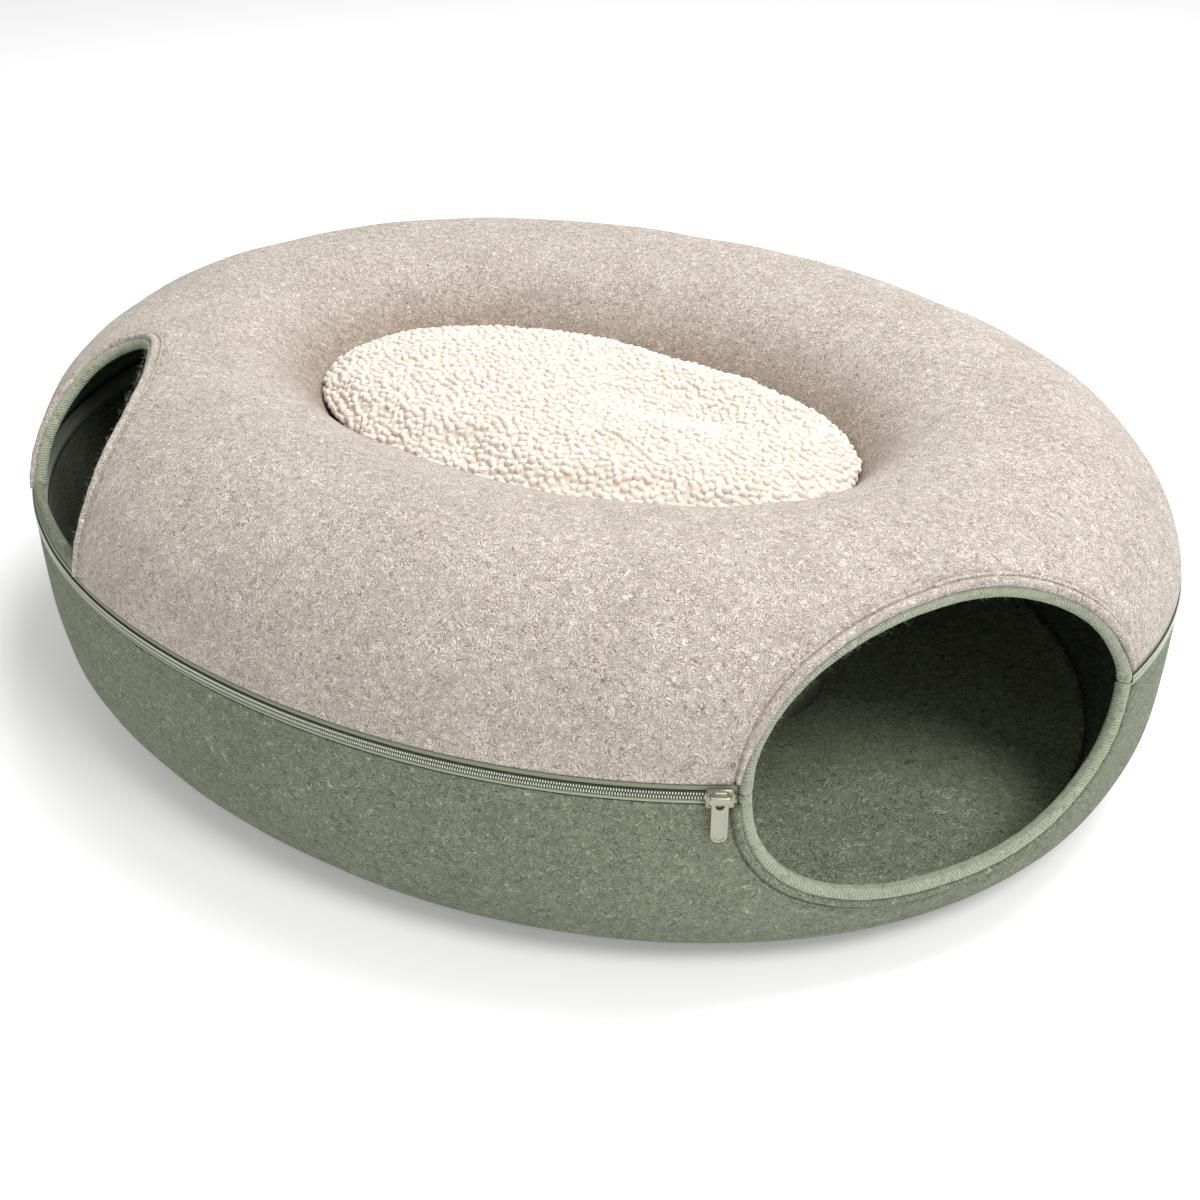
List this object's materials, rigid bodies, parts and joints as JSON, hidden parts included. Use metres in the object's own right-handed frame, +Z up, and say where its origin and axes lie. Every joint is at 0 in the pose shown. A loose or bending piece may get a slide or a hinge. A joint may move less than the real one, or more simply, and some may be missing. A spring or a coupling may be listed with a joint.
{
  "type": "cat tunnel bed",
  "caption": "Oval felt tunnel bed for cats, a zipped ring with an arched mouth at either side, round a sunken boucle cushion.",
  "frame": {"origin": "centre of the base, on the floor", "axes": "+X along the bed's longer way, towards the end with the large low mouth; +Y across it, away from both mouths; +Z up"},
  "size_m": [0.702, 0.5728, 0.1931],
  "materials": {
    "beige_felt": "matt heathered felt with a curly nap",
    "green_felt": "matt felt",
    "green_tape": "woven tape",
    "pale_teeth": "satin nylon coil",
    "satin_metal": "satin, pale grey green",
    "boucle": "cream boucle"
  },
  "bodies": {
    "root": {"upper_shell": "beige_felt", "upper_lining": "green_felt", "lower_bowl": "green_felt", "floor_panel": "green_felt", "zip_tape_upper": "green_tape", "zip_tape_lower": "green_tape", "zip_chain": "pale_teeth", "zip_slider": "satin_metal", "pull_tab": "satin_metal", "right_binding_upper": "green_felt", "right_binding_lower": "green_felt", "left_binding": "green_felt", "left_sill_strip": "green_tape", "well_cushion": "boucle"}
  },
  "joints": []
}
